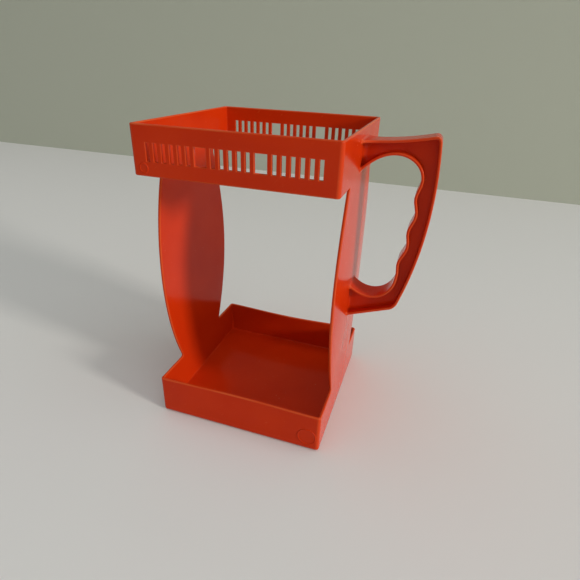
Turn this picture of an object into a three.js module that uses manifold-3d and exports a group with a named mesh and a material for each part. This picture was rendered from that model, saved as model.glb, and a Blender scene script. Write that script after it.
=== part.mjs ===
// A moulded carrier for a square gable-top carton: a shallow tray, two barrel-shaped side panels, a collar
// with barred windows, and a flanged handle with finger scallops.
// Millimetres, +Z up. The origin is the centre of the tray's underside, the handle points to +X and the
// front is at -Y.
import * as THREE from 'three';
import { mergeVertices } from 'three/addons/utils/BufferGeometryUtils.js';
import Module from 'manifold-3d';

const wasm = await Module();
wasm.setup();

// Sizes of the shell
const cartonSide = 95.3; // the square carton that the carrier holds
const cartonClearance = 1.75; // between the carton and each wall
const wall = 1.6; // thickness of the tray walls, panels and collar
const floorThickness = 2;
const trayHeight = 25; // from the table to the tray's rim
const collarHeight = 24;
const overallHeight = 173;

// Sizes of the side panels
const panelFootHalfWidth = 25.5; // at the tray's rim
const panelHeadHalfWidth = 28.5; // at the collar's lower edge
const panelWidestHalfWidth = 39.5;
const panelWidestRise = 65; // from the tray's rim to the widest place
const panelCrown = 1.2; // how far the middle of a panel swells outwards
const panelCurl = 0.5; // how far a panel's upright edges turn inwards

// Sizes of the collar's windows
const windowDrop = 8.2; // from the collar's top edge to the window
const windowHeight = 8.6;
const windowEnd = 8; // solid band left at each end
const barWidth = 2.2;
const leastSlot = 1.9; // narrowest opening beside a bar
const leastBars = 2; // fewest bars in one group
const fieldCount = 3; // groups of bars in one window
const fieldGap = 6; // wide opening between two groups

// Sizes of the handle, where a reach is measured from the collar's outer face
const handleDepth = 14; // width of both flanges, front to back
const handleWebThickness = 1.6;
const handleRimThickness = 1.4;
const handleDrop = 5.2; // from the collar's top edge to the handle's top edge
const handleReach = 38.5; // to the outermost point of the grip
const hornRadius = 147; // upward sweep of the top edge, which ends in a horn
const bowRadius = 215; // outward bow of the grip's outer edge
const bowDrop = 22.8; // from the handle's top edge to the outermost point
const heelAngle = 20.2; // slope of the lower edge, in degrees
const hornCorner = 3.4; // rounding at the horn
const heelCorner = 5; // rounding at the heel
const jointGap = 0.3; // left between the handle's ends and the wall that carries them

// Sizes of the finger opening, from its arch down to its seat
const archReach = 17.5; // to the highest point of the opening
const archDrop = 6.2; // from the handle's top edge to the highest point
const archRootDrop = 9.8; // from the highest point down to the wall
const archDepth = 11.1; // from the highest point to the uppermost scallop
const fingerCount = 4;
const fingerPitch = 17.7;
const gripWidth = 8; // from the outer edge to the bottom of a scallop
const scallopDepth = 1.9;
const seatReach = 12.2; // to the lowest point of the opening
const seatDepth = 13.9; // from the lowest scallop to the lowest point
const seatRootRise = 5.5; // from the lowest point up to the wall
const seatArm = 11.4; // height of the lower arm under the lowest point

// Places that follow from these sizes
const inside = cartonSide + 2 * cartonClearance;
const outside = inside + 2 * wall;
const face = outside / 2; // outer face of a side wall
const middle = face - wall / 2; // middle of a side wall's thickness
const collarFoot = overallHeight - collarHeight;
const panelHeight = collarFoot - trayHeight;
const panelWidestHeight = trayHeight + panelWidestRise;
const handleTop = overallHeight - handleDrop;
const bowHeight = handleTop - bowDrop;
const arch = new THREE.Vector2(face + archReach, handleTop - archDrop);
const topFingerHeight = arch.y - archDepth;
const bottomFingerHeight = topFingerHeight - (fingerCount - 1) * fingerPitch;
const seat = new THREE.Vector2(face + seatReach, bottomFingerHeight - seatDepth);
const heelSlope = Math.tan(THREE.MathUtils.degToRad(heelAngle));

// Resolution of the curved pieces
const panelStepsAcross = 8;
const panelStepsUp = 22;
const edgeSteps = 10;
const cornerSteps = 5;
const cornerPasses = 12; // repeats that settle where two edges meet
const endSteps = 4;
const scallopSteps = 8;

const orange = '#d8431a';

/** A plain moulded piece in the carrier's own plastic. */
function piece(name, geometry) {
  const plastic = new THREE.MeshStandardMaterial({ color: orange, roughness: 0.3, metalness: 0 });
  const mesh = new THREE.Mesh(geometry, plastic);
  mesh.name = name;
  return mesh;
}

/** An outline in X and Z, thickened along Y and centred on the plane y = 0. */
function upright(outline, thickness) {
  const geometry = new THREE.ExtrudeGeometry(outline, { depth: thickness, bevelEnabled: false });
  geometry.translate(0, 0, -thickness / 2);
  geometry.rotateX(Math.PI / 2);
  return geometry;
}

/** A closed geometry as a solid that can be cut. */
function solidOf(geometry) {
  const bare = geometry.clone();
  bare.deleteAttribute('normal');
  bare.deleteAttribute('uv');
  const merged = mergeVertices(bare);
  const vertProperties = merged.getAttribute('position').array;
  const triVerts = Uint32Array.from(merged.index.array);
  return new wasm.Manifold(new wasm.Mesh({ numProp: 3, vertProperties, triVerts }));
}

/** A solid back as a geometry. */
function geometryOf(solid) {
  const { vertProperties, triVerts } = solid.getMesh();
  const geometry = new THREE.BufferGeometry();
  geometry.setAttribute('position', new THREE.BufferAttribute(vertProperties, 3));
  geometry.setIndex(new THREE.BufferAttribute(triVerts, 1));
  geometry.computeVertexNormals();
  return geometry;
}

// The tray

/** The tray's square floor, with its underside on the table. */
function trayFloor() {
  const floor = piece('tray_floor', new THREE.BoxGeometry(outside, outside, floorThickness));
  floor.position.z = floorThickness / 2;
  return floor;
}

/** A wall across X between two heights, fitted between the front and the back. */
function sideWall(name, side, bottom, top) {
  const mesh = piece(name, new THREE.BoxGeometry(wall, inside, top - bottom));
  mesh.position.set(side * middle, 0, (bottom + top) / 2);
  return mesh;
}

/** A wall across Y between two heights, over the full width. */
function endWall(name, side, bottom, top) {
  const mesh = piece(name, new THREE.BoxGeometry(outside, wall, top - bottom));
  mesh.position.set(0, side * middle, (bottom + top) / 2);
  return mesh;
}

// The side panels

/** Fall of a round edge, one that loses `drop` over `run`, at a distance from its crest. */
function roundFall(drop, run, distance) {
  const radius = (run * run + drop * drop) / (2 * drop);
  return radius - Math.sqrt(radius * radius - distance * distance);
}

/** Half the width of a panel at a height, on two arcs that meet upright at the widest height. */
function panelHalfWidth(z) {
  const below = z < panelWidestHeight;
  const endHalfWidth = below ? panelFootHalfWidth : panelHeadHalfWidth;
  const run = below ? panelWidestHeight - trayHeight : collarFoot - panelWidestHeight;
  const distance = Math.abs(z - panelWidestHeight);
  return panelWidestHalfWidth - roundFall(panelWidestHalfWidth - endHalfWidth, run, distance);
}

/** Outward swell of a panel, where `across` runs from -1 to 1 between its upright edges. */
function panelSwell(z, across) {
  const up = THREE.MathUtils.clamp((z - trayHeight) / panelHeight, 0, 1);
  const fullness = Math.sin(Math.PI * up) ** 2;
  return fullness * (panelCrown - (panelCrown + panelCurl) * across * across);
}

/** A side panel, bent to its outline and swell from a box whose Y runs from -1 to 1. */
function sidePanel(name, side) {
  const geometry = new THREE.BoxGeometry(wall, 2, panelHeight, 1, panelStepsAcross, panelStepsUp);
  const points = geometry.getAttribute('position');
  for (let i = 0; i < points.count; i += 1) {
    const across = points.getY(i);
    const z = trayHeight + panelHeight / 2 + points.getZ(i);
    const x = points.getX(i) + side * (middle + panelSwell(z, across));
    points.setXYZ(i, x, across * panelHalfWidth(z), z);
  }
  return piece(name, geometry);
}

// The collar

/** Left and right ends of the openings in a window, between plain upright bars. */
function windowOpenings() {
  const length = outside - 2 * windowEnd;
  const fieldLength = (length - 2 * leastSlot - (fieldCount - 1) * fieldGap) / fieldCount;
  const bars = Math.max(leastBars, Math.floor((fieldLength + leastSlot) / (barWidth + leastSlot)));
  const slot = (fieldLength - bars * barWidth) / (bars - 1);
  const openings = [];
  let from = -length / 2;
  for (let field = 0; field < fieldCount; field += 1) {
    let opening = field === 0 ? leastSlot : fieldGap;
    for (let bar = 0; bar < bars; bar += 1) {
      openings.push([from, from + opening]);
      from += opening + barWidth;
      opening = slot;
    }
  }
  openings.push([from, from + leastSlot]);
  return openings;
}

/** The collar's front or back, with its window cut through between the bars. */
function windowBand(name, side) {
  const cutDepth = 2 * wall; // passes both faces
  let band = solidOf(new THREE.BoxGeometry(outside, wall, collarHeight));
  for (const [left, right] of windowOpenings()) {
    const cut = new THREE.BoxGeometry(right - left, cutDepth, windowHeight);
    cut.translate((left + right) / 2, 0, collarHeight / 2 - windowDrop - windowHeight / 2);
    band = band.subtract(solidOf(cut));
  }
  const mesh = piece(name, geometryOf(band));
  mesh.position.set(0, side * middle, (collarFoot + overallHeight) / 2);
  return mesh;
}

// The handle

/** The line that the handle's ends keep to, clear of the collar and of the panel's swell. */
function handleEnd(z) {
  return face + panelSwell(z, 0) + jointGap;
}

/** Height of the handle's top edge at a distance from the carrier's axis. */
function topEdge(x) {
  const distance = x - face;
  return handleTop + hornRadius - Math.sqrt(hornRadius * hornRadius - distance * distance);
}

/** Distance of the grip's outer edge from the carrier's axis at a height. */
function outerEdge(z) {
  const distance = z - bowHeight;
  return face + handleReach - bowRadius + Math.sqrt(bowRadius * bowRadius - distance * distance);
}

/** Height of the handle's lower edge at a distance from the carrier's axis. */
function lowerEdge(x) {
  return seat.y - seatArm + (x - seat.x) * heelSlope;
}

/** The corner where the outer edge meets another edge, found by stepping from one to the other. */
function cornerOn(edge) {
  const corner = new THREE.Vector2(face + handleReach, 0);
  for (let pass = 0; pass < cornerPasses; pass += 1) {
    corner.y = edge(corner.x);
    corner.x = outerEdge(corner.y);
  }
  return corner;
}

/** Evenly spaced values from one number to another. */
function steps(from, to, count) {
  return Array.from({ length: count + 1 }, (_, i) => THREE.MathUtils.lerp(from, to, i / count));
}

/** The handle's outer outline, from inside the wall over the horn and the heel and back to the wall. */
function outerLine() {
  const horn = cornerOn(topEdge);
  const heel = cornerOn(lowerEdge);
  const top = steps(middle, horn.x - hornCorner, edgeSteps).map((x) => new THREE.Vector2(x, topEdge(x)));
  const side = steps(horn.y - hornCorner, heel.y + heelCorner, edgeSteps)
    .map((z) => new THREE.Vector2(outerEdge(z), z));
  const lower = steps(heel.x - heelCorner, middle, edgeSteps).map((x) => new THREE.Vector2(x, lowerEdge(x)));
  const hornCurve = new THREE.QuadraticBezierCurve(top.at(-1), horn, side[0]);
  const heelCurve = new THREE.QuadraticBezierCurve(side.at(-1), heel, lower[0]);
  const hornPoints = hornCurve.getPoints(cornerSteps).slice(1, -1);
  const heelPoints = heelCurve.getPoints(cornerSteps).slice(1, -1);
  return [...top, ...hornPoints, ...side, ...heelPoints, ...lower];
}

/** Distance of the scalloped grip from the carrier's axis at a height. */
function scallopEdge(z) {
  const turn = (2 * Math.PI * (topFingerHeight - z)) / fingerPitch;
  return outerEdge(z) - gripWidth - (scallopDepth * (1 - Math.cos(turn))) / 2;
}

/** A quarter of an oval about a centre, from one angle to another, without its two ends. */
function quarterOval(centreX, centreZ, radiusX, radiusZ, from, to) {
  const oval = new THREE.EllipseCurve(centreX, centreZ, radiusX, radiusZ, from, to, true);
  return oval.getPoints(edgeSteps).slice(1, -1);
}

/** A stretch that leaves a crest level and bends away by `bend` where it meets the wall. */
function rootCurve(crest, bend) {
  return steps(middle, crest.x, edgeSteps).map((x) => {
    const share = (crest.x - x) / (crest.x - face);
    return new THREE.Vector2(x, crest.y + bend * share * share);
  });
}

/** The outline of the finger opening, from inside the wall over the arch, down the grip and back. */
function fingerLine() {
  const quarter = Math.PI / 2;
  const archSpan = scallopEdge(topFingerHeight) - arch.x;
  const seatSpan = scallopEdge(bottomFingerHeight) - seat.x;
  const grip = steps(topFingerHeight, bottomFingerHeight, (fingerCount - 1) * scallopSteps)
    .map((z) => new THREE.Vector2(scallopEdge(z), z));
  return [
    ...rootCurve(arch, -archRootDrop),
    ...quarterOval(arch.x, topFingerHeight, archSpan, archDepth, quarter, 0),
    ...grip,
    ...quarterOval(seat.x, bottomFingerHeight, seatSpan, seatDepth, 0, -quarter),
    ...rootCurve(seat, seatRootRise).reverse(),
  ];
}

/** A line parallel to another, `distance` to the right of its direction of travel. */
function parallel(line, distance) {
  return line.map((point, i) => {
    const before = line[Math.max(0, i - 1)];
    const after = line[Math.min(line.length - 1, i + 1)];
    const along = after.clone().sub(before).normalize();
    return new THREE.Vector2(point.x + along.y * distance, point.y - along.x * distance);
  });
}

/** The stretch of a line outside the wall, ending exactly on the line that the handle's ends keep to. */
function clearOfWall(line) {
  const clearance = (point) => point.x - handleEnd(point.y);
  const first = line.findIndex((point) => clearance(point) > 0);
  const last = line.findLastIndex((point) => clearance(point) > 0);
  const crossing = (within, without) => {
    const share = clearance(within) / (clearance(within) - clearance(without));
    return within.clone().lerp(without, share);
  };
  return [
    crossing(line[first - 1], line[first]),
    ...line.slice(first, last + 1),
    crossing(line[last + 1], line[last]),
  ];
}

/** Points along the handle's end between two heights, following the panel's swell. */
function endRun(from, to) {
  return steps(from, to, endSteps).slice(1, -1).map((z) => new THREE.Vector2(handleEnd(z), z));
}

/** A closed outline between two lines that run the same way. */
function between(outer, inner) {
  const back = [...inner].reverse();
  const lowerRun = endRun(outer.at(-1).y, back[0].y);
  const upperRun = endRun(back.at(-1).y, outer[0].y);
  return new THREE.Shape([...outer, ...lowerRun, ...back, ...upperRun]);
}

/** The handle: a web in its middle plane, and a flange along each of the web's two edges. */
function handle() {
  const group = new THREE.Group();
  const outer = outerLine();
  const finger = fingerLine();
  const outerRim = [clearOfWall(outer), clearOfWall(parallel(outer, handleRimThickness))];
  const gripRim = [clearOfWall(parallel(finger, -handleRimThickness)), clearOfWall(finger)];
  group.add(
    piece('handle_web', upright(between(outerRim[1], gripRim[0]), handleWebThickness)),
    piece('handle_outer_rim', upright(between(...outerRim), handleDepth)),
    piece('handle_grip_rim', upright(between(...gripRim), handleDepth)),
  );
  return group;
}

const carrier = new THREE.Group();
carrier.name = 'carton_carrier';
carrier.add(
  trayFloor(),
  endWall('tray_front_wall', -1, floorThickness, trayHeight),
  endWall('tray_back_wall', 1, floorThickness, trayHeight),
  sideWall('tray_left_wall', -1, floorThickness, trayHeight),
  sideWall('tray_right_wall', 1, floorThickness, trayHeight),
  sidePanel('left_panel', -1),
  sidePanel('right_panel', 1),
  windowBand('collar_front_band', -1),
  windowBand('collar_back_band', 1),
  sideWall('collar_left_band', -1, collarFoot, overallHeight),
  sideWall('collar_right_band', 1, collarFoot, overallHeight),
  handle(),
);

export default carrier;
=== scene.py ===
"""Looks of a moulded carton carrier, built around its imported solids.

The real carrier is one injection moulding: a shallow tray, two barrel-shaped side panels, a collar with
barred windows and a flanged handle. Meshes are worked in millimetres and turned to metres when they are
finished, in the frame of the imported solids: the origin is under the tray, the handle points to +X and the
front is at -Y.
"""

import logging
import math
from dataclasses import dataclass
from enum import Enum
from typing import Callable, Iterable

import bmesh
import bpy
from bmesh.types import BMEdge, BMesh, BMFace, BMVert
from mathutils import Matrix, Vector


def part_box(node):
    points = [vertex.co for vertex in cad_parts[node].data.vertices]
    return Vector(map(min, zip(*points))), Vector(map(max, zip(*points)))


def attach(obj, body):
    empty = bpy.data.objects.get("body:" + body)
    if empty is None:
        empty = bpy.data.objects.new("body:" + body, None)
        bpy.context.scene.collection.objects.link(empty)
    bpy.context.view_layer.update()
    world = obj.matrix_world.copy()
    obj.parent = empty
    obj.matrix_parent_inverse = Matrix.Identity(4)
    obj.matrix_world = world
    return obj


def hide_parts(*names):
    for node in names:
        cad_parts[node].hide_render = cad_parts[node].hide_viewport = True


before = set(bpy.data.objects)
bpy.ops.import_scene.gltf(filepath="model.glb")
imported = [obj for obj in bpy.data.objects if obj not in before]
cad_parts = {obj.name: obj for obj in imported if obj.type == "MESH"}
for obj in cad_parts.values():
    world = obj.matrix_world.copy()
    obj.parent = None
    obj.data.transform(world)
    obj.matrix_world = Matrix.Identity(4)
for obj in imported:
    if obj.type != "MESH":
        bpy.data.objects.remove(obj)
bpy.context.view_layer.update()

LOG = logging.getLogger("carton_carrier")
MM = 0.001  # metres in a millimetre
BODY = "root"
RIM_WEAR_AND_HIGHLIGHT = "rim_wear_and_highlight"  # face attribute: how much paler a rounded edge is painted, partly for rubbing and partly as a painted highlight, 0 on plain faces
SHARP = math.radians(45)  # an edge bent more than this still has to be rounded
TINY = 0.001  # mm within which two points are the same
MOSTLY = 0.5  # share of a face's direction along an axis from which it counts as facing that way
NOISE_SHIFT = (3.37, 7.61, 5.23)  # keeps the middle planes away from the noise's own grid
MIX_SHARE, MIX_UNDER, MIX_OVER, MIX_RESULT = 0, 6, 7, 2  # the Mix node's sockets for colours

Point = tuple[float, float, float]
Range = tuple[float, float]
Tree = bpy.types.NodeTree
Socket = bpy.types.NodeSocket


class Section(Enum):
    """The pieces that the shell is divided into."""

    TRAY = "tray_moulding"
    LEFT_PANEL = "left_side_panel"
    RIGHT_PANEL = "right_side_panel"
    COLLAR = "barred_collar"


class Flange(Enum):
    """The two flanges of the handle."""

    OUTER = "handle_flange"
    GRIP = "grip_flange"


SECTION_NODES = {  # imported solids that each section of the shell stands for
    Section.TRAY: ["tray_floor", "tray_front_wall", "tray_back_wall", "tray_left_wall", "tray_right_wall"],
    Section.LEFT_PANEL: ["left_panel"],
    Section.RIGHT_PANEL: ["right_panel"],
    Section.COLLAR: ["collar_front_band", "collar_back_band", "collar_left_band", "collar_right_band"],
}


def box_mm(node: str) -> tuple[Vector, Vector]:
    """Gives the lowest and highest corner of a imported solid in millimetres."""
    low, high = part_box(node)
    return low / MM, high / MM


def linear(hex_colour: str) -> tuple[float, float, float, float]:
    """Turns an sRGB hex colour to linear RGBA, by the curve that the sRGB standard gives.

    Args:
        hex_colour: Colour such as "#d8431a".

    Returns:
        Linear red, green, blue and an alpha of 1.
    """
    shares = [int(hex_colour[i:i + 2], 16) / 255 for i in (1, 3, 5)]
    red, green, blue = (s / 12.92 if s <= 0.04045 else ((s + 0.055) / 1.055) ** 2.4 for s in shares)
    return red, green, blue, 1.0


def add_node(tree: Tree, kind: str, settings: dict, inputs: dict) -> bpy.types.Node:
    """Adds a node with its settings and links.

    Args:
        tree: Node tree that gets the node.
        kind: Node type, such as "ShaderNodeTexNoise".
        settings: Properties of the node.
        inputs: Input name or number to a value, or to the output socket that feeds it.

    Returns:
        The new node.
    """
    node = tree.nodes.new(kind)
    for name, value in settings.items():
        setattr(node, name, value)
    for key, value in inputs.items():
        if isinstance(value, Socket):
            tree.links.new(value, node.inputs[key])
        else:
            node.inputs[key].default_value = value
    return node


def per_metre(size_mm: float) -> float:
    """Gives the texture scale at which a pattern repeats about every `size_mm` millimetres."""
    return 1 / (size_mm * MM)


@dataclass(frozen=True)
class Pattern:
    """Noise that varies a surface, by the real size of its patches."""

    sizes_mm: Point  # of a patch along X, Y and Z
    detail: float = 0.0  # number of finer layers


@dataclass(frozen=True)
class Ramp:
    """How a value turns to the strength of a feature."""

    start: float  # value up to which the feature has its first strength
    full: float  # value from which it has its last strength
    first: float = 0.0
    last: float = 1.0

    def inputs(self, value: Socket) -> dict[str, Socket | float]:
        """Gives the inputs of the node that maps the value."""
        ends = {"From Min": self.start, "From Max": self.full, "To Min": self.first, "To Max": self.last}
        return {"Value": value, **ends}


@dataclass(frozen=True)
class MouldedPolypropylene:
    """Injection-moulded polypropylene in orange-red.

    A hard, fairly glossy skin: it mirrors its surroundings at a grazing angle, shows faint flow streaks from
    the filling of the mould, and turns paler and duller in scratches. Its rounded edges are painted paler,
    partly for rubbing and partly as a painted highlight.
    """

    name: str = "moulded_polypropylene_orange"
    colour: str = "#cd3409"
    deep: str = "#c52e08"  # where the pigment is denser
    rub_and_highlight_tint: str = "#d66435"  # in scratches, and along rounded edges, where it is partly rubbing and partly a painted highlight
    dust: str = "#d3b09d"
    ior: float = 1.2  # reflects less face-on than clear resin does
    mottle: Pattern = Pattern((34.0, 34.0, 34.0), 3.0)  # patches of slightly denser pigment
    streak: Pattern = Pattern((14.0, 14.0, 120.0), 2.0)  # flow of the plastic up the walls
    ripple: Pattern = Pattern((22.0, 22.0, 22.0))  # slow waves of the walls, seen in their reflections
    scratch: Pattern = Pattern((16.0, 1.1, 1.1), 2.0)  # drawn wider than a real one, so that it shows
    scratch_slant: Point = (20.0, 35.0, 25.0)  # degrees that the scratches are turned about X, Y and Z
    density: Ramp = Ramp(0.35, 0.7)  # of the pigment
    roughness: Ramp = Ramp(0.3, 0.7, 0.14, 0.21)  # between the streaks and in them
    rubbing: Ramp = Ramp(0.68, 0.8, last=0.3)  # in the scratches
    rubbing_dullness: float = 0.5  # roughness that full rubbing would add
    wear_and_highlight: Ramp = Ramp(0.35, 0.65, 0.15, 0.6)  # along rounded edges: rubbing, and a painted highlight
    wave_height_mm: float = 0.3
    wave_strength: float = 0.5
    speck_mm: float = 2.2  # spacing of dust specks on faces that look upwards
    speck_size: Ramp = Ramp(0.06, 0.13, 1.0, 0.0)  # by the distance from its middle, in spacings
    speck_choice: Ramp = Ramp(0.8, 0.82, last=0.45)  # by a random value, so that few of them show
    speck_level: Ramp = Ramp(0.6, 0.9)  # by how far upwards the face looks

    def material(self) -> bpy.types.Material:
        """Builds the material's nodes.

        Returns:
            The finished material.
        """
        material = bpy.data.materials.new(self.name)
        material.use_nodes = True
        tree = material.node_tree
        tree.nodes.clear()
        coords = add_node(tree, "ShaderNodeTexCoord", {}, {}).outputs["Object"]
        mottle, streak, ripple, scratch = self._noises(tree, coords)
        ramps = ((self.density, mottle), (self.wear_and_highlight, mottle), (self.rubbing, scratch), (self.roughness, streak))
        dense, uneven, scraped, rough = (
            add_node(tree, "ShaderNodeMapRange", {}, ramp.inputs(value)).outputs[0] for ramp, value in ramps
        )
        # Rounded edges get the paler tint: partly rubbing, partly a painted highlight.
        edges = add_node(tree, "ShaderNodeAttribute", {"attribute_name": RIM_WEAR_AND_HIGHLIGHT}, {}).outputs["Fac"]
        edge_wear_and_highlight = add_node(tree, "ShaderNodeMath", {"operation": "MULTIPLY"}, {0: edges, 1: uneven}).outputs[0]
        dusty = self._specks(tree, coords)
        tints = ((dense, self.deep), (edge_wear_and_highlight, self.rub_and_highlight_tint), (scraped, self.rub_and_highlight_tint), (dusty, self.dust))
        colour = linear(self.colour)
        for share, tint in tints:
            inputs = {MIX_SHARE: share, MIX_UNDER: colour, MIX_OVER: linear(tint)}
            colour = add_node(tree, "ShaderNodeMix", {"data_type": "RGBA"}, inputs).outputs[MIX_RESULT]
        dull = {0: scraped, 1: self.rubbing_dullness, 2: rough}
        rough = add_node(tree, "ShaderNodeMath", {"operation": "MULTIPLY_ADD"}, dull).outputs[0]
        height = {"Height": ripple, "Distance": self.wave_height_mm * MM, "Strength": self.wave_strength}
        waves = add_node(tree, "ShaderNodeBump", {}, height).outputs[0]
        skin = {"Base Color": colour, "Roughness": rough, "IOR": self.ior, "Normal": waves}
        shader = add_node(tree, "ShaderNodeBsdfPrincipled", {}, skin)
        add_node(tree, "ShaderNodeOutputMaterial", {}, {"Surface": shader.outputs[0]})
        return material

    def _noises(self, tree: Tree, coords: Socket) -> list[Socket]:
        """Adds the noise of the four patterns.

        Args:
            tree: Node tree of the material.
            coords: Object coordinates.

        Returns:
            The mottle, the streaks, the ripple and the scratches, each from 0 to 1.
        """
        turn = [math.radians(angle) for angle in self.scratch_slant]
        slanted = add_node(tree, "ShaderNodeMapping", {}, {"Vector": coords, "Rotation": turn}).outputs[0]
        upright = [(pattern, coords) for pattern in (self.mottle, self.streak, self.ripple)]
        noises = []
        for pattern, vector in [*upright, (self.scratch, slanted)]:
            scale = [per_metre(size) for size in pattern.sizes_mm]
            spread = {"Vector": vector, "Scale": scale, "Location": NOISE_SHIFT}
            place = add_node(tree, "ShaderNodeMapping", {}, spread).outputs[0]
            inputs = {"Vector": place, "Scale": 1.0, "Detail": pattern.detail}
            noises.append(add_node(tree, "ShaderNodeTexNoise", {}, inputs).outputs[0])
        return noises

    def _specks(self, tree: Tree, coords: Socket) -> Socket:
        """Adds a few dust specks on the faces that look upwards.

        Args:
            tree: Node tree of the material.
            coords: Object coordinates.

        Returns:
            How dusty the surface is.
        """
        spread = {"Vector": coords, "Scale": per_metre(self.speck_mm)}
        dots = add_node(tree, "ShaderNodeTexVoronoi", {}, spread).outputs
        facing = add_node(tree, "ShaderNodeNewGeometry", {}, {}).outputs["Normal"]
        upwards = add_node(tree, "ShaderNodeSeparateXYZ", {}, {0: facing}).outputs["Z"]
        ramps = (
            (self.speck_size, dots["Distance"]), (self.speck_choice, dots["Color"]), (self.speck_level, upwards)
        )
        share, *others = (
            add_node(tree, "ShaderNodeMapRange", {}, ramp.inputs(value)).outputs[0] for ramp, value in ramps
        )
        for other in others:
            inputs = {0: share, 1: other}
            share = add_node(tree, "ShaderNodeMath", {"operation": "MULTIPLY"}, inputs).outputs[0]
        return share


class WirePath:
    """A chain of edges drawn point after point in a bmesh."""

    def __init__(self, bm: BMesh, start: Point) -> None:
        """Starts the chain in a mesh."""
        self.bm = bm
        self.tip: BMVert = bm.verts.new(start)

    def line_to(self, *points: Point) -> None:
        """Draws straight lines.

        Args:
            points: Points to pass, in order.
        """
        for point in points:
            self.tip = bmesh.ops.extrude_vert_indiv(self.bm, verts=[self.tip])["verts"][0]
            self.tip.co = point

    def arc_about(self, centre: Point, axis: Point, angle: float, steps: int) -> BMVert:
        """Draws an arc from the tip.

        Args:
            centre: Centre of the arc.
            axis: Axis of turning.
            angle: Angle of turning in radians, by the right-hand rule.
            steps: Number of edges.

        Returns:
            The vertex at the end.
        """
        turned = bmesh.ops.spin(
            self.bm, geom=[self.tip], cent=centre, axis=axis, angle=angle, steps=steps, use_merge=False
        )
        self.tip = next(e for e in turned["geom_last"] if isinstance(e, BMVert))
        return self.tip


def everything(bm: BMesh) -> list[BMVert | BMEdge | BMFace]:
    """Gives all vertices, edges and faces of a mesh."""
    return bm.verts[:] + bm.edges[:] + bm.faces[:]


def bent_edges(bm: BMesh) -> list[BMEdge]:
    """Gives the edges that are bent too sharply to be left as they are."""
    return [e for e in bm.edges if len(e.link_faces) == 2 and e.calc_face_angle() > SHARP]


def runs_along_front(edge: BMEdge) -> bool:
    """Tells whether an edge keeps its distance from the front."""
    return abs(edge.verts[0].co.y - edge.verts[1].co.y) < TINY


def round_off(
    bm: BMesh, geom: list[BMEdge] | list[BMVert], radius: float, segments: int, wear_and_highlight: float = 0.0
) -> None:
    """Rounds edges or corners in a circular arc and notes how much paler they are painted, for rubbing and as a
    painted highlight.

    Args:
        bm: Mesh to change.
        geom: Edges or corners to round.
        radius: Distance from the edge to where the rounding starts.
        segments: Number of facets across the rounding.
        wear_and_highlight: How much paler the rounding is painted, for rubbing and as a painted highlight.
    """
    layer = bm.faces.layers.float.get(RIM_WEAR_AND_HIGHLIGHT) or bm.faces.layers.float.new(RIM_WEAR_AND_HIGHLIGHT)
    affect = "VERTICES" if isinstance(geom[0], BMVert) else "EDGES"
    rounded = bmesh.ops.bevel(
        bm, geom=geom, offset=radius, offset_type="OFFSET", affect=affect, segments=segments, profile=0.5,
        material=-1,
    )
    for face in rounded["faces"]:
        face[layer] = wear_and_highlight


def cut(bm: BMesh, faces: list[BMFace], point: Point, normal: Point) -> None:
    """Cuts faces along a plane and keeps both halves.

    Args:
        bm: Mesh to change.
        faces: Faces to cut.
        point: A point of the plane.
        normal: Direction that the plane faces.
    """
    edges = dict.fromkeys(e for f in faces for e in f.edges)
    verts = dict.fromkeys(v for f in faces for v in f.verts)
    geom = [*faces, *edges, *verts]
    bmesh.ops.bisect_plane(bm, geom=geom, dist=TINY, plane_co=point, plane_no=normal)


def cut_off(bm: BMesh, point: Point, normal: Point) -> list[BMEdge]:
    """Removes all that lies beyond a plane and closes the cut.

    Args:
        bm: Mesh to change.
        point: A point of the plane.
        normal: Direction of what is removed.

    Returns:
        The edges round the cut.
    """
    sliced = bmesh.ops.bisect_plane(
        bm, geom=everything(bm), dist=TINY, plane_co=point, plane_no=normal, clear_outer=True
    )
    edges = [e for e in sliced["geom_cut"] if isinstance(e, BMEdge)]
    bmesh.ops.holes_fill(bm, edges=edges, sides=0)
    return edges


def thicken(bm: BMesh, thickness: float, towards: Point, looks_back: bool) -> None:
    """Gives a sheet its thickness on the side that its faces look away from.

    Args:
        bm: Mesh that holds only the sheet.
        thickness: Thickness of the wall.
        towards: Direction whose furthest face shows which way the sheet looks.
        looks_back: Whether that face looks against the direction.
    """
    way = Vector(towards)
    bmesh.ops.recalc_face_normals(bm, faces=bm.faces[:])
    bm.normal_update()
    furthest = max(bm.faces, key=lambda f: f.calc_center_median().dot(way))
    if (furthest.normal.dot(way) > 0) == looks_back:
        bmesh.ops.reverse_faces(bm, faces=bm.faces[:])
    bm.normal_update()
    bmesh.ops.solidify(bm, geom=bm.faces[:], thickness=thickness)
    bmesh.ops.recalc_face_normals(bm, faces=bm.faces[:])


def add_mesh(name: str, bm: BMesh, material: bpy.types.Material) -> bpy.types.Object:
    """Adds a mesh to the scene.

    Args:
        name: Name of the object.
        bm: Mesh in metres, which is freed.
        material: Its finish.

    Returns:
        The object.
    """
    mesh = bpy.data.meshes.new(name)
    bm.to_mesh(mesh)
    bm.free()
    mesh.materials.append(material)
    added = bpy.data.objects.new(name, mesh)
    bpy.context.scene.collection.objects.link(added)
    return added


def finish_piece(
    name: str, bm: BMesh, material: bpy.types.Material, nodes: Iterable[str]
) -> bpy.types.Object:
    """Turns a mesh in millimetres to a finished piece.

    Args:
        name: Name of the piece.
        bm: Closed mesh, which is freed.
        material: Finish of the piece.
        nodes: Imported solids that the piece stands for.

    Returns:
        The piece.
    """
    for face in bm.faces:
        face.smooth = True
    bm.transform(Matrix.Scale(MM, 4))
    piece = add_mesh(name, bm, material)
    shading = piece.modifiers.new("flat_faces_shade_flat", "WEIGHTED_NORMAL")
    shading.keep_sharp = True
    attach(piece, BODY)
    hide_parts(*nodes)
    return piece


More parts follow.
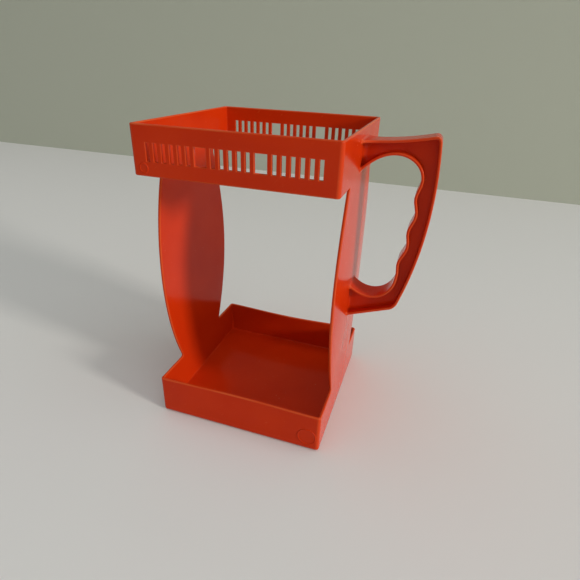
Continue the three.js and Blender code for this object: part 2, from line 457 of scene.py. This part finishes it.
@dataclass(frozen=True)
class RoundMark:
    """A raised ring on the front, left by an insert of the mould."""

    x: float  # of its middle
    z: float
    radius: float
    height: float = 0.25
    slope: float = 0.35  # width of each flank, drawn wider than a real one so that it shows
    hollow: float = 0.8  # depth of the middle, as a share of the height
    segments: int = 48


@dataclass
class MouldedShell:
    """The tray, the side panels and the collar, which are one continuous wall."""

    half: float  # from the middle to an outer face
    tray_height: float
    collar_foot: float
    top: float
    wall: float = 1.6
    floor: float = 2.0
    foot_half_width: float = 25.5  # of a panel at the tray's rim
    head_half_width: float = 28.5  # of a panel under the collar
    widest_half_width: float = 39.5
    widest_height: float = 90.0
    crown: float = 1.2  # outward swell in the middle of a panel
    curl: float = 0.5  # inward turn of a panel's upright edges
    notch: float = 1.9  # start of the rounding where a panel meets the rim and the collar
    notch_segments: int = 5
    corner: float = 1.9  # rounding of the upright corners and round the floor
    corner_segments: int = 5
    # how much paler the rounded upright and floor corners are painted, for rubbing and as a painted highlight
    corner_wear_and_highlight: float = 0.4
    hollow: float = 1.0  # rounding of the same corners on the inside
    hollow_segments: int = 4
    rim: float = 0.65  # rounding of the free edges
    rim_segments: int = 3
    slot_rim: float = 0.3  # rounding round the openings of the windows
    slot_segments: int = 2
    window_drop: float = 8.2  # from the collar's top to a window's top
    window_height: float = 8.6
    window_end: float = 8.0  # plain band at each end of a window
    bar_width: float = 2.2
    least_slot: float = 1.9  # narrowest opening between bars
    fields: int = 3  # groups of bars in a window
    field_gap: float = 6.0  # opening between two groups
    front_lean: float = 1.0  # how far the rim of the tray's front leans inwards in the middle
    back_lean: float = 2.4
    lean_power: float = 1.5  # how the lean grows with the height
    marks: tuple[RoundMark, ...] = (RoundMark(43.6, 9.4, 5.8), RoundMark(-45.0, 153.0, 2.6, height=0.2))
    arc_steps: int = 14
    rows: int = 30  # of facets up a panel
    column: float = 6.0  # width of a facet across a panel
    lean_columns: int = 12  # facets along and up the tray's front and back
    lean_rows: int = 4
    stub: float = 3.0  # of a panel's ends that stay with the tray and the collar

    def __post_init__(self) -> None:
        """Starts the mesh, and works out the places that follow from the sizes."""
        self.bm = bmesh.new()
        self.inside = self.half - 2 * self.wall  # a point further out lies on a side wall
        self.window_top = self.top - self.window_drop
        self.window_foot = self.window_top - self.window_height
        self.low_run = self.widest_height - self.tray_height
        self.high_run = self.collar_foot - self.widest_height
        self.low_radius = self._arc_radius(self.foot_half_width, self.low_run)
        self.high_radius = self._arc_radius(self.head_half_width, self.high_run)

    @classmethod
    def from_solids(cls) -> "MouldedShell":
        """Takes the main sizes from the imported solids.

        Returns:
            The shell.
        """
        floor_low, floor_high = box_mm("tray_floor")
        band_low, band_high = box_mm("collar_front_band")
        return cls(
            half=(floor_high.x - floor_low.x) / 2,
            tray_height=box_mm("tray_front_wall")[1].z,
            collar_foot=band_low.z,
            top=band_high.z,
        )

    def panel_half_width(self, z: float) -> float:
        """Gives half the width of a panel at a height, on two arcs that meet at the widest height."""
        radius = self.low_radius if z < self.widest_height else self.high_radius
        return self.widest_half_width - radius + math.sqrt(radius**2 - (z - self.widest_height) ** 2)

    def swell(self, z: float, y: float) -> float:
        """Gives the outward swell of a panel.

        Args:
            z: Height.
            y: Distance from the panel's middle line.

        Returns:
            The swell, which is negative along the curled edges.
        """
        up = (z - self.tray_height) / (self.collar_foot - self.tray_height)
        if not 0 < up < 1:
            return 0.0
        across = y / self.panel_half_width(z)
        return math.sin(math.pi * up) ** 2 * (self.crown - (self.crown + self.curl) * across * across)

    def lean(self, x: float, y: float, z: float) -> float:
        """Gives the inward lean of the tray's front and back.

        Args:
            x: Distance from the middle.
            y: Below 0 on the front, above 0 on the back.
            z: Height.

        Returns:
            The move along Y.
        """
        share = max(0.0, 1 - (x / self.half) ** 2)
        most = self.front_lean if y < 0 else -self.back_lean
        return most * share * share * max(0.0, z / self.tray_height) ** self.lean_power

    def build(self, material: bpy.types.Material) -> list[bpy.types.Object]:
        """Builds and dresses the shell's pieces.

        Args:
            material: Finish of the shell.

        Returns:
            The pieces.
        """
        self._add_sides()
        self._add_tray_and_collar()
        self._cut_windows()
        thicken(self.bm, self.wall, (0, 0, -1), looks_back=False)
        self._raise_floor()
        self._round()
        self._facet()
        for mark in self.marks:
            self._add_mark(mark)
        self._bend()
        pieces = [self._section(section, material) for section in Section]
        self.bm.free()
        return pieces

    def _arc_radius(self, end_half_width: float, run: float) -> float:
        """Gives the radius of a panel's edge that narrows to an end within a run of height."""
        drop = self.widest_half_width - end_half_width
        return (run * run + drop * drop) / (2 * drop)

    def _add_sides(self) -> None:
        """Adds both sides as flat outlines: tray wall, panel and collar band in one face each."""
        bm = self.bm
        path = WirePath(bm, (self.half, 0, 0))
        path.line_to((self.half, self.half, 0), (self.half, self.half, self.tray_height))
        path.line_to((self.half, self.foot_half_width, self.tray_height))
        for radius, run in ((self.low_radius, self.low_run), (self.high_radius, self.high_run)):
            centre = (self.half, self.widest_half_width - radius, self.widest_height)
            path.arc_about(centre, (1, 0, 0), math.asin(run / radius), self.arc_steps)
        path.line_to((self.half, self.half, self.collar_foot), (self.half, self.half, self.top))
        path.line_to((self.half, 0, self.top))
        self._mirror("Y")
        bmesh.ops.edgeloop_fill(bm, edges=bm.edges[:])
        bmesh.ops.dissolve_verts(bm, verts=[v for v in bm.verts if abs(v.co.y) < TINY])
        notches = [v for v in bm.verts if self._is_notch(v)]
        round_off(bm, notches, self.notch, self.notch_segments)
        self._mirror("X")

    def _is_notch(self, vert: BMVert) -> bool:
        """Tells whether a panel's edge meets the tray or the collar at a vertex."""
        meetings = ((self.tray_height, self.foot_half_width), (self.collar_foot, self.head_half_width))
        return any(abs(vert.co.z - z) < TINY and abs(abs(vert.co.y) - y) < TINY for z, y in meetings)

    def _mirror(self, axis: str) -> None:
        """Adds the mirror image of everything across the middle plane."""
        matrix = Matrix.Identity(4)
        bmesh.ops.mirror(self.bm, geom=everything(self.bm), matrix=matrix, merge_dist=TINY, axis=axis)

    def _add_tray_and_collar(self) -> None:
        """Adds the tray's floor, front and back and the collar's front and back between the sides."""
        bm = self.bm
        for low, high, has_floor in ((0, self.tray_height, True), (self.collar_foot, self.top, False)):
            place = Matrix.Translation((0, 0, (low + high) / 2))
            size = Matrix.Diagonal((2 * self.half, 2 * self.half, high - low, 1))
            made = bmesh.ops.create_cube(bm, size=1, matrix=place @ size)
            faces = dict.fromkeys(f for v in made["verts"] for f in v.link_faces)
            bm.normal_update()
            spare = [
                f for f in faces
                if abs(f.normal.x) > MOSTLY or f.normal.z > MOSTLY or f.normal.z < -MOSTLY and not has_floor
            ]
            bmesh.ops.delete(bm, geom=spare, context="FACES_ONLY")
        bmesh.ops.remove_doubles(bm, verts=bm.verts[:], dist=TINY)
        loose = [e for e in bm.edges if not e.link_faces]
        bmesh.ops.delete(bm, geom=loose, context="EDGES")

    def openings(self) -> list[Range]:
        """Works out the openings between the bars of a window.

        Returns:
            The left and right end of each opening.
        """
        length = 2 * (self.half - self.window_end)
        field = (length - 2 * self.least_slot - (self.fields - 1) * self.field_gap) / self.fields
        bars = int((field + self.least_slot) / (self.bar_width + self.least_slot))
        slot = (field - bars * self.bar_width) / (bars - 1)
        ends = []
        left = -length / 2
        for number in range(self.fields):
            width = self.field_gap if number else self.least_slot
            for _ in range(bars):
                ends.append((left, left + width))
                left += width + self.bar_width
                width = slot
        ends.append((left, left + self.least_slot))
        return ends

    def _cut_windows(self) -> None:
        """Cuts the openings of the front and back windows."""
        openings = self.openings()
        for height in (self.window_foot, self.window_top):
            cut(self.bm, self._band_faces(self.collar_foot, self.top), (0, 0, height), (0, 0, 1))
        for x in (end for ends in openings for end in ends):
            cut(self.bm, self._band_faces(self.window_foot, self.window_top), (x, 0, 0), (1, 0, 0))
        spare = [
            face
            for face in self._band_faces(self.window_foot, self.window_top)
            if any(left < face.calc_center_median().x < right for left, right in openings)
        ]
        bmesh.ops.delete(self.bm, geom=spare, context="FACES")

    def _band_faces(self, low: float, high: float) -> list[BMFace]:
        """Gives the front and back faces between two heights."""
        low, high, face = low - TINY, high + TINY, self.half - TINY
        return [f for f in self.bm.faces if all(abs(v.co.y) > face and low < v.co.z < high for v in f.verts)]

    def _raise_floor(self) -> None:
        """Lifts the tray's inner floor to the floor's own thickness."""
        inner = [v for v in self.bm.verts if abs(v.co.z - self.wall) < TINY]
        bmesh.ops.translate(self.bm, verts=inner, vec=(0, 0, self.floor - self.wall))

    def _round(self) -> None:
        """Rounds corners, floor edges, bars and rims, the larger ones first."""
        bm = self.bm
        corners = [
            e for e in bent_edges(bm)
            if all(v.co.z < self.floor + TINY for v in e.verts)
            or all(abs(v.co.x) > self.inside and abs(v.co.y) > self.inside for v in e.verts)
            and abs(e.verts[0].co.z - e.verts[1].co.z) > self.wall
        ]
        convex = [e for e in corners if e.is_convex]
        hollow = [e for e in corners if not e.is_convex]
        round_off(bm, convex, self.corner, self.corner_segments, self.corner_wear_and_highlight)
        round_off(bm, hollow, self.hollow, self.hollow_segments)
        # Bars and rims are painted fully paler along their rounding, partly for rubbing and partly as a painted
        # highlight.
        bars = [e for e in bent_edges(bm) if self._is_in_window(e) and runs_along_front(e)]
        round_off(bm, bars, self.slot_rim, self.slot_segments, wear_and_highlight=1.0)
        rims = [e for e in bent_edges(bm) if not self._is_in_window(e)]
        round_off(bm, rims, self.rim, self.rim_segments, wear_and_highlight=1.0)

    def _is_in_window(self, edge: BMEdge) -> bool:
        """Tells whether an edge belongs to a window's openings.

        Args:
            edge: Edge of the shell.

        Returns:
            Whether it lies in a window or on its rounded rim.
        """
        margin = self.slot_rim + TINY
        low, high = self.window_foot - margin, self.window_top + margin
        reach = self.half - self.window_end + margin
        return all(low < v.co.z < high and abs(v.co.x) < reach for v in edge.verts)

    def _facet(self) -> None:
        """Divides the panels and the tray's front and back into facets that can bend."""
        step = (self.collar_foot - self.tray_height) / self.rows
        for row in range(1, self.rows):
            height = self.tray_height + row * step
            cut(self.bm, self.bm.faces[:], (0, 0, height), (0, 0, 1))
        count = int(self.widest_half_width / self.column)
        for number in range(-count, count + 1):
            sides = [f for f in self.bm.faces if all(abs(v.co.x) > self.inside for v in f.verts)]
            cut(self.bm, sides, (0, number * self.column, 0), (0, 1, 0))
        for number in range(1, self.lean_columns):
            x = self.half * (2 * number / self.lean_columns - 1)
            cut(self.bm, self._tray_ends(), (x, 0, 0), (1, 0, 0))
        for number in range(1, self.lean_rows):
            height = self.tray_height * number / self.lean_rows
            cut(self.bm, self._tray_ends(), (0, 0, height), (0, 0, 1))

    def _tray_ends(self) -> list[BMFace]:
        """Gives the faces of the tray's front and back walls."""
        rim = self.tray_height + TINY
        return [f for f in self.bm.faces if all(abs(v.co.y) > self.inside and v.co.z < rim for v in f.verts)]

    def _add_mark(self, mark: RoundMark) -> None:
        """Adds a raised ring to the front.

        Args:
            mark: Place and size of the ring.
        """
        bm = self.bm
        place = Matrix.Translation((mark.x, -self.half, mark.z)) @ Matrix.Rotation(math.pi / 2, 4, "X")
        disc = bmesh.ops.create_cone(
            bm, cap_ends=True, segments=mark.segments, radius1=mark.radius + mark.slope,
            radius2=mark.radius - mark.slope, depth=2 * mark.height, matrix=place,
        )
        faces = (f for v in disc["verts"] for f in v.link_faces)
        cap = min(faces, key=lambda f: f.calc_center_median().y)
        bmesh.ops.inset_region(bm, faces=[cap], thickness=mark.slope / 2)
        bmesh.ops.inset_region(bm, faces=[cap], thickness=mark.slope, depth=-mark.hollow * mark.height)
        for edge in bm.edges:
            if all(v.co.y < -self.half - TINY for v in edge.verts):
                edge.smooth = False

    def _bend(self) -> None:
        """Swells the panels and lets the rims of the tray's front and back lean inwards."""
        for vert in self.bm.verts:
            x, y, z = vert.co
            if z > self.tray_height + TINY:
                vert.co.x += self.swell(z, y) * math.copysign(1, x)
            elif abs(y) > self.inside:
                vert.co.y += self.lean(x, y, z)

    def _section(self, section: Section, material: bpy.types.Material) -> bpy.types.Object:
        """Cuts one piece out of the whole shell and finishes it.

        Args:
            section: Which piece.
            material: Finish of the piece.

        Returns:
            The piece.
        """
        bm = self.bm.copy()
        low_cut = self.tray_height + self.stub
        high_cut = self.collar_foot - self.stub
        if section is Section.TRAY:
            cuts = [(low_cut, 1)]
        elif section is Section.COLLAR:
            cuts = [(high_cut, -1)]
        else:
            cuts = [(low_cut, -1), (high_cut, 1)]
        for height, away in cuts:
            for edge in cut_off(bm, (0, 0, height), (0, 0, away)):
                edge.smooth = False
        if section in (Section.LEFT_PANEL, Section.RIGHT_PANEL):
            side = -1 if section is Section.LEFT_PANEL else 1
            bmesh.ops.delete(bm, geom=[v for v in bm.verts if v.co.x * side < 0], context="VERTS")
        return finish_piece(section.value, bm, material, SECTION_NODES[section])


def spaced(start: float, end: float, steps: int) -> list[float]:
    """Gives evenly spaced values after a start, up to an end."""
    return [start + (end - start) * step / steps for step in range(1, steps + 1)]


@dataclass(frozen=True)
class Root:
    """How a line of the handle runs into the wall."""

    depth: float  # how far it goes in
    steps: int  # number of edges over the flare


@dataclass
class Handle:
    """The flanged handle: a plate in the middle plane with a flange along each of its two edges."""

    shell: MouldedShell
    depth: float = 14.0  # width of the flanges, front to back
    plate: float = 1.6
    flange: float = 1.4
    drop: float = 5.2  # from the collar's top to the handle's top edge
    reach: float = 38.5  # from the collar's face to the outer edge's furthest point
    horn_radius: float = 147.0  # of the top edge's curve
    bow_radius: float = 215.0  # of the outer edge's curve
    bow_drop: float = 22.8  # from the top edge's root to the outer edge's furthest point
    heel_angle: float = 20.2  # degrees that the lower edge rises outwards
    horn_corner: float = 3.4  # rounding where the top edge meets the outer edge
    heel_corner: float = 3.2  # rounding where the lower edge meets it
    corner_segments: int = 7
    arch_reach: float = 17.5  # from the collar's face to the crest of the finger opening's top
    arch_drop: float = 6.2  # from the top edge's root to that crest
    arch_root_drop: float = 9.8  # from that crest to the opening's line at the wall
    arch_depth: float = 11.1  # from that crest to the middle of the first finger
    fingers: int = 4
    finger_pitch: float = 17.7
    grip_width: float = 8.0  # from the outer edge to the bottom of a scallop
    scallop_depth: float = 1.9
    seat_reach: float = 12.2  # from the collar's face to the lowest point of the finger opening
    seat_depth: float = 13.9  # from the middle of the last finger to that point
    seat_root_rise: float = 5.5  # from that point to the opening's line at the wall
    seat_arm: float = 11.4  # from that point to the lower edge
    edge: float = 0.62  # rounding of the flanges' edges
    edge_segments: int = 3
    fillet: float = 0.9  # between the plate and the flanges
    fillet_steps: int = 3
    flare: float = 1.6  # fillet where the flanges run into the wall
    flare_share: float = 0.6  # of a round fillet's height
    fan_reach: float = 8.0  # how far from the collar the top flange starts to widen towards it
    fan_width: float = 3.6  # how much it widens on each side
    root: Root = Root(0.5, 6)  # of the flanges
    end_slack: float = 0.004  # how far a flange's end may lie off the wall's curve
    plate_root: Root = Root(4.0, 1)  # of the plate before it is trimmed
    trim: float = 0.25  # how far the trimmed plate goes into the wall
    plate_cuts: tuple[float, ...] = (0.3, 0.7, 1.2, 1.8, 2.6)  # gaps where it is divided, so that it can flare
    corner_passes: int = 12  # repeats that settle where two edges meet
    curve_steps: int = 12
    fan_steps: int = 4
    horn_steps: int = 8
    bow_steps: int = 16  # few enough that an edge is longer than a corner's rounding
    scallop_steps: int = 8

    def __post_init__(self) -> None:
        """Works out the places that follow from the sizes."""
        self.face = self.shell.half
        self.top = self.shell.top - self.drop
        self.bow_height = self.top - self.bow_drop
        self.arch_x = self.face + self.arch_reach
        self.arch_z = self.top - self.arch_drop
        self.top_finger = self.arch_z - self.arch_depth
        self.bottom_finger = self.top_finger - (self.fingers - 1) * self.finger_pitch
        self.seat_x = self.face + self.seat_reach
        self.seat_z = self.bottom_finger - self.seat_depth
        self.corner_radii = (self.horn_corner, self.heel_corner)

    def build(self, material: bpy.types.Material) -> list[bpy.types.Object]:
        """Builds and dresses the handle's pieces.

        Args:
            material: Finish of the handle.

        Returns:
            The pieces.
        """
        outer, grip = self._flange_mesh(Flange.OUTER), self._flange_mesh(Flange.GRIP)
        return [
            finish_piece("handle_plate", self._plate_mesh(), material, ["handle_web"]),
            finish_piece(Flange.OUTER.value, outer, material, ["handle_outer_rim"]),
            finish_piece(Flange.GRIP.value, grip, material, ["handle_grip_rim"]),
        ]

    def top_edge(self, x: float) -> float:
        """Gives the height of the top edge at a distance from the carrier's axis."""
        return self.top + self.horn_radius - math.sqrt(self.horn_radius**2 - (x - self.face) ** 2)

    def outer_edge(self, z: float) -> float:
        """Gives the distance of the outer edge from the carrier's axis at a height."""
        bow = math.sqrt(self.bow_radius**2 - (z - self.bow_height) ** 2)
        return self.face + self.reach - self.bow_radius + bow

    def lower_edge(self, x: float) -> float:
        """Gives the height of the lower edge at a distance from the carrier's axis."""
        return self.seat_z - self.seat_arm + (x - self.seat_x) * math.tan(math.radians(self.heel_angle))

    def scallop_edge(self, z: float) -> float:
        """Gives the distance of the scalloped grip from the carrier's axis at a height."""
        turn = 2 * math.pi * (self.top_finger - z) / self.finger_pitch
        return self.outer_edge(z) - self.grip_width - self.scallop_depth * (1 - math.cos(turn)) / 2

    def _wall_face(self, z: float) -> float:
        """Gives the distance of the wall's outer face from the axis, behind the handle."""
        return self.face + self.shell.swell(z, 0)

    def _corner_on(self, edge: Callable[[float], float]) -> Range:
        """Finds where the outer edge meets another edge.

        Args:
            edge: Height of the other edge at a distance from the axis.

        Returns:
            X and Z of the corner.
        """
        x, z = self.face + self.reach, 0.0
        for _ in range(self.corner_passes):
            z = edge(x)
            x = self.outer_edge(z)
        return x, z

    def _draw_outer(self, bm: BMesh, root: Root) -> tuple[WirePath, list[BMVert]]:
        """Draws the handle's outer line in the middle plane, from the collar to the panel.

        Args:
            bm: Mesh that gets the line.
            root: How the line's ends run into the wall.

        Returns:
            The path, and the vertices at the horn and the heel.
        """
        horn_x, horn_z = self._corner_on(self.top_edge)
        heel_z = self._corner_on(self.lower_edge)[1]
        start, clear = self.face - root.depth, self.face + self.flare
        path = WirePath(bm, (start, 0, self.top_edge(start)))
        fan = spaced(clear, self.face + self.fan_reach, self.fan_steps)
        path.line_to(*((x, 0, self.top_edge(x)) for x in spaced(start, clear, root.steps) + fan))
        centre = (self.face, 0, self.top + self.horn_radius)
        turns = [math.asin((x - self.face) / self.horn_radius) for x in (path.tip.co.x, horn_x)]
        horn = path.arc_about(centre, (0, -1, 0), turns[1] - turns[0], self.horn_steps)
        bow = (self.face + self.reach - self.bow_radius, 0, self.bow_height)
        drop = [math.asin((z - self.bow_height) / self.bow_radius) for z in (horn_z, heel_z)]
        heel = path.arc_about(bow, (0, 1, 0), drop[0] - drop[1], self.bow_steps)
        end = self._wall_face(self.lower_edge(self.face))
        clear = end + self.flare
        lower = [clear] + spaced(clear, end - root.depth, root.steps)
        path.line_to(*((x, 0, self.lower_edge(x)) for x in lower))
        return path, [horn, heel]

    def _finger_points(self, root: Root) -> list[Point]:
        """Gives the outline of the finger opening, from the arch down the grip to the seat.

        Args:
            root: How the line's ends run into the wall.

        Returns:
            The points.
        """
        arch = self._root_points(self.arch_x, self.arch_z, -self.arch_root_drop, root)
        seat = self._root_points(self.seat_x, self.seat_z, self.seat_root_rise, root)
        grip_steps = (self.fingers - 1) * self.scallop_steps
        heights = [self.top_finger] + spaced(self.top_finger, self.bottom_finger, grip_steps)
        grip = [(self.scallop_edge(z), 0, z) for z in heights]
        top_span, bottom_span = grip[0][0] - self.arch_x, grip[-1][0] - self.seat_x
        top = self._quarter(self.arch_x, self.top_finger, top_span, self.arch_depth)
        bottom = self._quarter(self.seat_x, self.bottom_finger, bottom_span, -self.seat_depth)
        return arch + top[::-1] + grip + bottom + seat[::-1]

    def _quarter(self, x: float, z: float, span: float, depth: float) -> list[Point]:
        """Gives points on a quarter of an ellipse about a centre, from its side towards its crest."""
        turns = spaced(0, math.pi / 2, self.curve_steps)[:-1]
        return [(x + span * math.cos(turn), 0, z + depth * math.sin(turn)) for turn in turns]

    def _root_points(self, crest_x: float, crest_z: float, bend: float, root: Root) -> list[Point]:
        """Gives a curve from inside the wall to a crest of the finger opening.

        Args:
            crest_x: Distance of the crest from the axis.
            crest_z: Height of the crest.
            bend: How far the curve has bent away from the crest's height at the collar's face.
            root: How the curve runs into the wall.

        Returns:
            The points, closer together near the wall.
        """
        wall = self._wall_face(crest_z + bend)
        start, clear = wall - root.depth, wall + self.flare
        points = []
        for x in [start] + spaced(start, clear, root.steps) + spaced(clear, crest_x, self.curve_steps):
            share = (crest_x - x) / (crest_x - self.face)
            points.append((x, 0, crest_z + bend * share * share))
        return points

    def _flange_mesh(self, flange: Flange) -> BMesh:
        """Builds a flange as a strip along its line, thickened and rounded.

        Args:
            flange: Which flange.

        Returns:
            The closed mesh.
        """
        bm = bmesh.new()
        corners: list[BMVert] = []
        if flange is Flange.OUTER:
            _, corners = self._draw_outer(bm, self.root)
        else:
            points = self._finger_points(self.root)
            WirePath(bm, points[0]).line_to(*points[1:])
        bmesh.ops.translate(bm, verts=bm.verts[:], vec=(0, -self.depth / 2, 0))
        strip = bmesh.ops.extrude_edge_only(bm, edges=bm.edges[:])
        back = [v for v in strip["geom"] if isinstance(v, BMVert)]
        bmesh.ops.translate(bm, verts=back, vec=(0, self.depth, 0))
        across = [next(e for e in v.link_edges if not runs_along_front(e)) for v in corners]
        for edge, radius in zip(across, self.corner_radii):
            round_off(bm, [edge], radius, self.corner_segments)
        thicken(bm, self.flange, (1, 0, 0), looks_back=flange is Flange.GRIP)
        # The flanges' long edges are painted fully paler, partly for rubbing and partly as a painted highlight.
        long_edges = [e for e in bent_edges(bm) if runs_along_front(e) and not self._is_end(e)]
        round_off(bm, long_edges, self.edge, self.edge_segments, wear_and_highlight=1.0)
        self._flare_roots(bm)
        return bm

    def _is_end(self, edge: BMEdge) -> bool:
        """Tells whether an edge lies on a flange's end, inside the wall."""
        depth = self.root.depth - self.end_slack
        return all(v.co.x < self._wall_face(v.co.z) - depth for v in edge.verts)

    def _flare_roots(self, bm: BMesh) -> None:
        """Widens a flange or the plate towards the wall, as a fillet does.

        Args:
            bm: Mesh to change.
        """
        bm.normal_update()
        for vert in bm.verts:
            gap = max(0.0, vert.co.x - self._wall_face(vert.co.z))
            if gap < self.flare:
                rise = self.flare - math.sqrt(self.flare**2 - (self.flare - gap) ** 2)
                outwards = Vector((0, vert.normal.y, vert.normal.z))
                if outwards.length > TINY:
                    vert.co += outwards.normalized() * rise * self.flare_share
            if vert.co.z > self.top - 2 * self.flange:
                share = max(0.0, 1 - gap / self.fan_reach)
                vert.co.y *= 1 + 2 * self.fan_width / self.depth * share * share

    def _plate_mesh(self) -> BMesh:
        """Builds the plate between the flanges, thicker where it runs into them.

        Returns:
            The closed mesh.
        """
        bm = bmesh.new()
        path, corners = self._draw_outer(bm, self.plate_root)
        start = next(v for v in bm.verts if len(v.link_edges) == 1 and v is not path.tip)
        path.line_to(*reversed(self._finger_points(self.plate_root)))
        bm.edges.new((path.tip, start))
        bmesh.ops.edgeloop_fill(bm, edges=bm.edges[:])
        for vert, radius in zip(corners, self.corner_radii):
            round_off(bm, [vert], radius, self.corner_segments)
        border = bmesh.ops.inset_region(
            bm, faces=bm.faces[:], thickness=self.flange / 2, use_boundary=True, use_even_offset=True
        )
        bmesh.ops.delete(bm, geom=border["faces"], context="FACES")
        bmesh.ops.translate(bm, verts=bm.verts[:], vec=(0, -self.plate / 2, 0))
        raised = bmesh.ops.extrude_face_region(bm, geom=bm.faces[:], use_keep_orig=True)
        back = [v for v in raised["geom"] if isinstance(v, BMVert)]
        bmesh.ops.translate(bm, verts=back, vec=(0, self.plate, 0))
        bmesh.ops.recalc_face_normals(bm, faces=bm.faces[:])
        for side in (-1, 1):
            self._fillet_plate(bm, side)
        cut_off(bm, (self.face - self.trim, 0, 0), (-1, 0, 0))
        for gap in self.plate_cuts:
            cut(bm, bm.faces[:], (self.face + gap, 0, 0), (1, 0, 0))
        self._flare_roots(bm)
        return bm

    def _fillet_plate(self, bm: BMesh, side: int) -> None:
        """Thickens the plate's border on one face in a hollow curve.

        Args:
            bm: Mesh to change.
            side: -1 for the front face, 1 for the back.
        """
        bm.normal_update()
        face = max((f for f in bm.faces if f.normal.y * side > MOSTLY), key=lambda f: f.calc_area())
        width = self.fillet / self.fillet_steps
        for step in range(self.fillet_steps):
            rise = self.fillet * (1 - math.sin(math.pi / 2 * step / self.fillet_steps))
            border = list(face.verts)
            bmesh.ops.inset_region(bm, faces=[face], thickness=width, use_even_offset=True)
            bmesh.ops.translate(bm, verts=border, vec=(0, side * rise, 0))


@dataclass(frozen=True)
class PhotoCamera:
    """The camera, at the photo's viewing angle."""

    azimuth: float = 17.318  # degrees
    elevation: float = 27.511
    roll: float = 2.184
    aim: Point = (0.0, 0.0, 86.7)  # millimetres, as the next three
    distance: float = 271.31
    right: float = 13.75  # sideways move of the camera in its own level frame
    up: float = -13.02
    lens: float = 27.254
    sensor: float = 36.0

    def place(self) -> None:
        """Makes the camera and gives it to the scene."""
        turn, rise, roll = (math.radians(a) for a in (self.azimuth, self.elevation, self.roll))
        facing = Matrix.Rotation(turn, 4, "Z") @ Matrix.Rotation(math.pi / 2 - rise, 4, "X")
        centre = Matrix.Translation(Vector(self.aim) * MM)
        offset = Matrix.Translation(Vector((self.right, self.up, self.distance)) * MM)
        data = bpy.data.cameras.new("photo_camera")
        data.lens = self.lens
        data.sensor_width = self.sensor
        camera = bpy.data.objects.new("photo_camera", data)
        camera.matrix_world = centre @ facing @ offset @ Matrix.Rotation(roll, 4, "Z")
        bpy.context.scene.collection.objects.link(camera)
        bpy.context.scene.camera = camera


@dataclass(frozen=True)
class SoftBox:
    """A square soft lamp, which the camera does not see."""

    name: str
    place: Point  # metres
    aim: Point
    size: float
    watts: float
    colour: str

    def light(self) -> None:
        """Hangs the lamp and turns it to its aim."""
        data = bpy.data.lights.new(self.name, "AREA")
        data.shape = "SQUARE"
        data.size = self.size
        data.energy = self.watts
        data.color = linear(self.colour)[:3]
        lamp = bpy.data.objects.new(self.name, data)
        lamp.visible_camera = False
        lamp.location = self.place
        lamp.rotation_euler = (Vector(self.aim) - Vector(self.place)).to_track_quat("-Z", "Y").to_euler()
        bpy.context.scene.collection.objects.link(lamp)


@dataclass(frozen=True)
class MattPaint:
    """A plain matt colour for the studio."""

    name: str
    colour: str
    roughness: float = 0.9

    def material(self) -> bpy.types.Material:
        """Builds the material.

        Returns:
            The finished material.
        """
        material = bpy.data.materials.new(self.name)
        material.use_nodes = True
        shader = material.node_tree.nodes["Principled BSDF"]
        shader.inputs["Base Color"].default_value = linear(self.colour)
        shader.inputs["Roughness"].default_value = self.roughness
        return material


@dataclass(frozen=True)
class Studio:
    """A pale table, a pale wall and a low lamp far to the right, in air that is dimmer towards the front."""

    table: MattPaint = MattPaint("table_matt", "#e2e1df")
    wall: MattPaint = MattPaint("studio_wall_matt", "#b8bcac")
    size: float = 3.0  # of both, in metres
    table_gap: float = 0.2 * MM  # keeps the table's face clear of the tray's
    wall_place: float = 0.62  # metres behind the carrier
    air: str = "#eef0f0"
    bright_side: Point = (0.5, 0.45, 0.72)  # the air is brightest this way
    air_light: Ramp = Ramp(-0.5, 0.8, 0.08, 1.04)  # by the dot product with that side
    lamp: SoftBox = SoftBox("window_light", (5.6, -1.32, 1.62), (0.0, 0.0, 0.09), 0.8, 205.0, "#fffaf2")

    def build(self) -> None:
        """Lays the table, stands the wall up and lights them."""
        upright = Matrix.Translation((0, self.wall_place, 0)) @ Matrix.Rotation(math.pi / 2, 4, "X")
        self._stage("table", Matrix.Translation((0, 0, -self.table_gap)), self.table)
        self._stage("studio_wall", upright, self.wall)
        self._light_air()
        self.lamp.light()

    def _light_air(self) -> None:
        """Lights the air softly all round, dimmer low in front and to the left."""
        world = bpy.data.worlds.new("studio_air")
        world.use_nodes = True
        tree = world.node_tree
        tree.nodes.clear()
        direction = add_node(tree, "ShaderNodeTexCoord", {}, {}).outputs["Generated"]
        inputs = {0: direction, 1: self.bright_side}
        side = add_node(tree, "ShaderNodeVectorMath", {"operation": "DOT_PRODUCT"}, inputs).outputs["Value"]
        strength = add_node(tree, "ShaderNodeMapRange", {}, self.air_light.inputs(side)).outputs[0]
        glow = {"Color": linear(self.air), "Strength": strength}
        background = add_node(tree, "ShaderNodeBackground", {}, glow)
        add_node(tree, "ShaderNodeOutputWorld", {}, {"Surface": background.outputs[0]})
        bpy.context.scene.world = world

    def _stage(self, name: str, place: Matrix, paint: MattPaint) -> None:
        """Makes a plain square of the studio.

        Args:
            name: Name of the piece.
            place: Where it stands.
            paint: Its colour.
        """
        bm = bmesh.new()
        bmesh.ops.create_grid(bm, x_segments=1, y_segments=1, size=self.size / 2, matrix=place)
        piece = add_mesh(name, bm, paint.material())


def main() -> None:
    """Builds the carrier's pieces, the studio and the camera."""
    logging.basicConfig(level=logging.INFO, format="%(name)s: %(message)s")
    PhotoCamera().place()
    plastic = MouldedPolypropylene().material()
    shell = MouldedShell.from_solids()
    for piece in shell.build(plastic) + Handle(shell).build(plastic):
        LOG.info("%s: %d faces", piece.name, len(piece.data.polygons))
    Studio().build()
    bpy.context.scene.view_settings.view_transform = "Standard"


if __name__ == "__main__":
    main()
